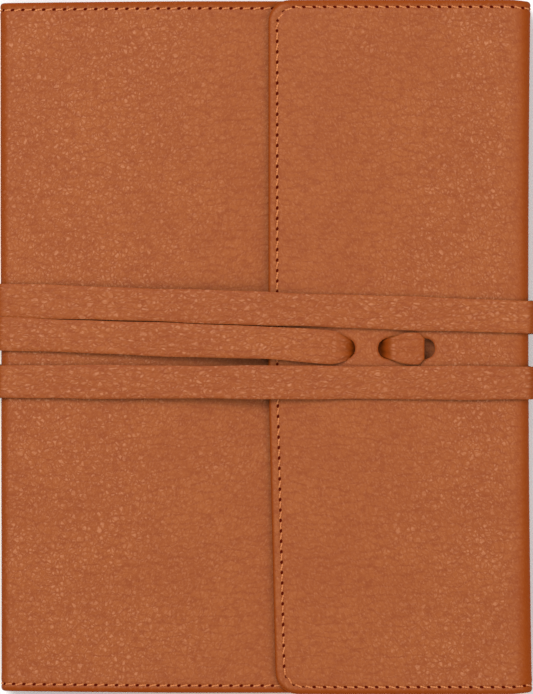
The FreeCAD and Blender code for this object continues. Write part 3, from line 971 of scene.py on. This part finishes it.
# ---------------------------------------------------------------- the strap
def ribbon(name, route, widths, materials, relief, painted_shade, facing=1):
    """A leather band with soft edges along a route of (x, y, z), bent only in the XZ plane.

    widths holds one width per place, and the argument after relief one amount of painted shade per
    place. relief(s, v) lifts the band; v runs from -1 to 1 across it. facing is 1 if the outer face is
    on the left of the route.
    """
    along = running_length(route)
    tangent = np.gradient(route, along, axis=0)
    tangent /= np.linalg.norm(tangent, axis=1)[:, None]
    flat = tangent[:, [0, 2]]
    flat = flat / np.linalg.norm(flat, axis=1)[:, None]
    normal = facing * np.stack([flat[:, 1], 0 * flat[:, 0], -flat[:, 0]], axis=1)
    across = np.cross(normal, tangent)
    profile = strap_profile()
    v = profile[:, 0]
    outer = profile[:, 1] > 0
    half = np.asarray(widths)[:, None] / 2
    wave = relief(along[:, None], v[None, :])
    height = profile[None, :, 1] * STRAP_THICK / 2 + wave
    edge = edge_wander(along)[:, None] * np.sign(v)[None, :]
    side = v[None, :] * half + edge
    sideways = across[:, None, :] * side[..., None]
    points = route[:, None, :] + sideways + normal[:, None, :] * height[..., None]
    rows, columns = len(route), len(profile)
    faces = [tuple(f) for f in tube_faces(rows, columns)[:, [0, 3, 2, 1]]]
    both_outer = outer & np.roll(outer, -1)
    kinds = [0 if both_outer[k] else 1 for k in np.tile(np.arange(columns), rows - 1)]
    faces += [tuple(range(columns)), tuple((rows - 1) * columns + k for k in reversed(range(columns)))]
    kinds += [1, 1]
    uv = np.stack([np.broadcast_to(along[:, None], side.shape), side + 0.03], axis=-1).reshape(-1, 2)
    tone = np.broadcast_to(np.asarray(painted_shade)[:, None], side.shape)
    # Painted shade along the band's rounded edges.
    tone = np.maximum(tone, 0.35 * smooth(np.abs(v), 0.86, 1.0)[None, :]).ravel()
    obj = make_object(name, points.reshape(-1, 3), faces, uv, materials, kinds, tone)
    return close_up(obj, 60)


def strap_profile():
    """The band's section, as (share of half width, share of half thickness), once round."""
    top = [(v, 1 - 12.375 * max(0, abs(v) - 0.8) ** 2) for v in np.linspace(-1, 1, 25)]
    bottom = [(v, -1.0) for v in np.linspace(0.97, -0.97, 7)]
    return np.array(top + [(1.0, -0.6)] + bottom + [(-1.0, -0.6)])


def edge_wander(along):
    """A hand-cut edge: it wanders a little off its line."""
    return 0.12 * MM * np.sin(along / (9 * MM)) + 0.06 * MM * np.sin(along / (3.7 * MM) + 1)


def strap_wrinkles(s, v):
    """Slanting creases and a soft hollow along the middle of a strap under tension."""
    slanted = s + v * 9 * MM
    fold = np.sin(slanted / (2.3 * MM) + 1.5 * np.sin(s / (11 * MM)))
    fold = fold * (0.5 + 0.5 * np.sin(s / (17 * MM) + 2 * v))
    gathered = bell(s, 14 * MM, 4.5 * MM) * np.cos(10 * v + 0.8 * np.sin(s / (1.7 * MM)))
    slack = 0.045 * MM * fold + 0.05 * MM * np.sin(s / (8 * MM) + 2.2 * v)
    return slack * smooth(s, 12 * MM, 20 * MM) + 0.2 * MM * gathered


def strap_corners():
    """The corners of the strap's way round the cover, from its anchor to its free end."""
    top, spine_top = STRAP_LEVEL, SPINE_HIGH.z + 0.7 * MM
    left, right = SPINE_LOW.x - STRAP_OFF, EDGE_HIGH.x + STRAP_OFF
    edge_x = FLAP_LOW.x - 1 * MM
    drape_x, drape_z = -24 * MM, spine_top + 1.5 * MM
    upper_back, lower_back = 1.5 * STRAP_THICK, 0.5 * STRAP_THICK
    corners = [
        (SLOT_CENTRE_X + 6 * MM, SLOT_Y, UNDER_FLAP),
        (LEFT_SLOT_X + SLOT_LENGTH - 0.5 * MM, SLOT_Y, UNDER_FLAP),
        (LEFT_SLOT_X + SLOT_LENGTH - 3.6 * MM, SLOT_Y, top),
        (LEFT_SLOT_X, SLOT_Y + 1.2 * MM, top),
        (edge_x, SLOT_Y + 1.9 * MM, top),
        (drape_x, SLOT_Y + 2.6 * MM, drape_z),
        (left, MIDDLE_Y, spine_top),
        (left, MIDDLE_Y, upper_back),
    ]
    for edge_y, span_y, before_z, after_z in (
        (EDGE_LOWER_Y, LOWER_Y, upper_back, lower_back),
        (EDGE_UPPER_Y, UPPER_Y, lower_back, upper_back),
    ):
        slope = edge_y - span_y
        corners += [
            (right, edge_y, before_z),
            (right, edge_y, top),
            (edge_x, span_y + 0.5 * slope, top),
            (drape_x, span_y + 0.35 * slope, drape_z),
            (left, span_y, spine_top),
            (left, span_y, after_z),
        ]
    return corners + [(FREE_END_X, FREE_END_Y, upper_back)]


def strap_route():
    """The strap's middle line, with its turns rounded, a point every millimetre or so.

    It also gives how far along the strap each point is.
    """
    corners = [np.array(corner) for corner in strap_corners()]
    line = [corners[0]]
    for before, corner, after in zip(corners, corners[1:], corners[2:]):
        back, ahead = before - corner, after - corner
        to_back, to_ahead = np.linalg.norm(back), np.linalg.norm(ahead)
        drapes = -30 * MM < corner[0] < 5 * MM and corner[2] > 10 * MM
        reach = min(7 * MM if drapes else 2.6 * MM, 0.45 * to_back, 0.45 * to_ahead)
        start = corner + back / to_back * reach
        end = corner + ahead / to_ahead * reach
        for t in np.linspace(0, 1, 9):
            line.append((1 - t) ** 2 * start + 2 * t * (1 - t) * corner + t**2 * end)
    line.append(corners[-1])
    along = running_length(line)
    at = [along[0]]
    for start, end in zip(along, along[1:]):
        parts = max(1, math.ceil((end - start) / (0.9 * MM)))
        at += [start + (end - start) * k / parts for k in range(1, parts + 1)]
    return along_line(at, along, line), np.array(at)


route, along_strap = strap_route()
threaded = smooth(along_strap, 18.5 * MM, 9.5 * MM)
band_width = STRAP_WIDTH - (STRAP_WIDTH - THREADED_WIDTH) * threaded
# Painted shade where the band dives into the left slot and where it turns round the spine and the
# fore-edge.
slot_shade = 2 * smooth(STRAP_LEVEL - route[:, 2], -1.2 * MM, 4 * MM) * smooth(along_strap, 24 * MM, 16 * MM)
turn_shade = smooth(np.abs(route[:, 0]), 82.5 * MM, 84.5 * MM)
band_shade = np.maximum(slot_shade, turn_shade)
strap_kinds = [strap_hide, cut_edge]
band = ribbon("strap_band", route, band_width, strap_kinds, strap_wrinkles, band_shade)
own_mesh(band)
stand_for(
    band, "flap", "strap_hide", "strap_front_middle", "strap_front_upper", "strap_front_lower"
)
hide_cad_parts("strap_back_first", "strap_back_second", "strap_back_third")
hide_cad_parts("strap_spine_turns", "strap_fore_edge_turns")


def tail_route():
    """The strap's anchored end: under the bridge, up through the right slot and out on the flap."""
    rise = RIGHT_SLOT_X + 1.2 * MM
    return [
        (LEFT_SLOT_X + SLOT_LENGTH - 4 * MM, UNDER_FLAP - 0.05 * MM),
        (rise, UNDER_FLAP),
        (rise + 3.4 * MM, STRAP_LEVEL - 0.1 * MM),
        (TAIL_END_X - 4 * MM, STRAP_LEVEL + 0.1 * MM),
        (TAIL_END_X, STRAP_LEVEL - 0.35 * MM),
    ]


tail_line = rounded(tail_route(), 1.6 * MM)
tail_lengths = running_length(tail_line)
tail_at = np.arange(0, tail_lengths[-1], 0.3 * MM)
tail_x, tail_z = along_line(tail_at, tail_lengths, tail_line).T
tail_points = np.stack([tail_x, 0 * tail_x + SLOT_Y, tail_z], axis=1)
tail_end = smooth(tail_x, TAIL_END_X - 2.4 * MM, TAIL_END_X)
tail_spread = smooth(tail_x, RIGHT_SLOT_X + 1 * MM, TAIL_END_X - 5 * MM)
tail_width = TAIL_THREADED_WIDTH + (TAIL_WIDTH - TAIL_THREADED_WIDTH) * tail_spread
tail_width = tail_width * (1 - 0.3 * tail_end**2)


def tail_wrinkles(s, v):
    """Creases fanning out from where the tail comes up through its slot."""
    reach = smooth(s, 10 * MM, 14 * MM)
    return 0.16 * MM * reach * np.cos(v * 7 + 0.6 * np.sin(s / (2 * MM))) * smooth(s, 27 * MM, 16 * MM)


# Painted shade where the tail comes up out of its slot and on its turned-down end.
tail_slot_shade = 2 * smooth(STRAP_LEVEL - tail_z, -1.2 * MM, 4 * MM)
tail_shade = np.maximum(tail_slot_shade, smooth(tail_x, TAIL_END_X - 0.9 * MM, TAIL_END_X))
tail = ribbon("strap_tail", tail_points, tail_width, strap_kinds, tail_wrinkles, tail_shade, -1)
stand_for(tail, "flap", "strap_hide", "strap_anchor_tail")


# ---------------------------------------------------------------- inside
def slab(name, low, high, materials, soften=0.0):
    """A flat piece between two corners. Its faces wave by soften, and its upper rim is eased."""
    x = np.linspace(low.x, high.x, 24)
    y = np.linspace(low.y, high.y, 40)
    gx, gy = np.meshgrid(x, y)
    edge = np.minimum(np.minimum(gx - low.x, high.x - gx), np.minimum(gy - low.y, high.y - gy))
    wave = soften * (np.sin(gx / (21 * MM)) + np.sin(gy / (17 * MM))) * smooth(edge, 0, 20 * MM)
    top = np.stack([gx, gy, high.z + wave - 0.02 * MM * (edge <= 0)], axis=-1).reshape(-1, 3)
    bottom = np.stack([gx, gy, low.z + wave], axis=-1).reshape(-1, 3)
    faces = shell_faces(grid_faces(*gx.shape), gx.size)[0]
    return close_up(make_object(name, np.concatenate([top, bottom]), faces, None, materials))


block = slab("page_block", PAGES_LOW, PAGES_HIGH, [page_paper])
stand_for(block, "root", "paper", "notebook_pages")
for node_name, body, kind, finish, soften in (
    ("notebook_back_card", "root", kraft, "card", 0.0),
    ("notebook_front_card", "front_cover", kraft, "card", 0.0),
    ("notebook_spine_tape", "root", book_cloth, "tape", 0.0),
    ("back_board", "root", grey_board, "board", 0.0),
    ("front_board", "front_cover", grey_board, "board", 0.0),
    ("back_pocket", "root", suede_pocket, "lining", POCKET_WAVE),
    ("front_pocket", "front_cover", suede_pocket, "lining", POCKET_WAVE),
):
    low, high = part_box(node_name)
    made = slab("looks_" + node_name, low, high, [kind], soften)
    stand_for(made, body, finish, node_name)


# ---------------------------------------------------------------- light, floor, camera
def area_light(name, place, target, size, power):
    """A soft square white light aimed at a point."""
    data = bpy.data.lights.new(name, "AREA")
    data.size = size
    data.energy = power
    obj = bpy.data.objects.new(name, data)
    obj.location = place
    obj.rotation_euler = (Vector(target) - Vector(place)).to_track_quat("-Z", "Y").to_euler()
    bpy.context.scene.collection.objects.link(obj)


def floor(z):
    """A wide, plain pale table."""
    material, tree, shader = new_material("pale_table")
    shader.inputs["Base Color"].default_value = (0.95, 0.95, 0.95, 1)
    shader.inputs["Roughness"].default_value = 0.9
    reach = 3.0
    points = [(-reach, -reach, z), (reach, -reach, z), (reach, reach, z), (-reach, reach, z)]
    obj = make_object("table", points, [(0, 1, 2, 3)], None, [material])


floor(cad_bounds[0][2] - TABLE_GAP)
area_light("main_light", (-0.5, 0.7, 1.3), (0, 0, 0), 0.9, MAIN_POWER)
area_light("fill_light", (0.9, -0.5, 1.2), (0, 0, 0), 1.2, FILL_POWER)
world = bpy.data.worlds.new("studio")
world.use_nodes = True
world.node_tree.nodes["Background"].inputs[0].default_value = (1, 1, 1, 1)
world.node_tree.nodes["Background"].inputs[1].default_value = SKY_STRENGTH
bpy.context.scene.world = world
bpy.context.scene.view_settings.view_transform = "Standard"

camera_data = bpy.data.cameras.new("camera")
camera_data.sensor_fit = "VERTICAL"
camera_data.sensor_height = SENSOR
camera_data.lens = SENSOR * CAMERA_ABOVE / PICTURE_HEIGHT
camera_data.clip_end = 20
camera = bpy.data.objects.new("camera", camera_data)
camera.location = (CAMERA_X, 0, FOCUS_HEIGHT + CAMERA_ABOVE)
bpy.context.scene.collection.objects.link(camera)
bpy.context.scene.camera = camera
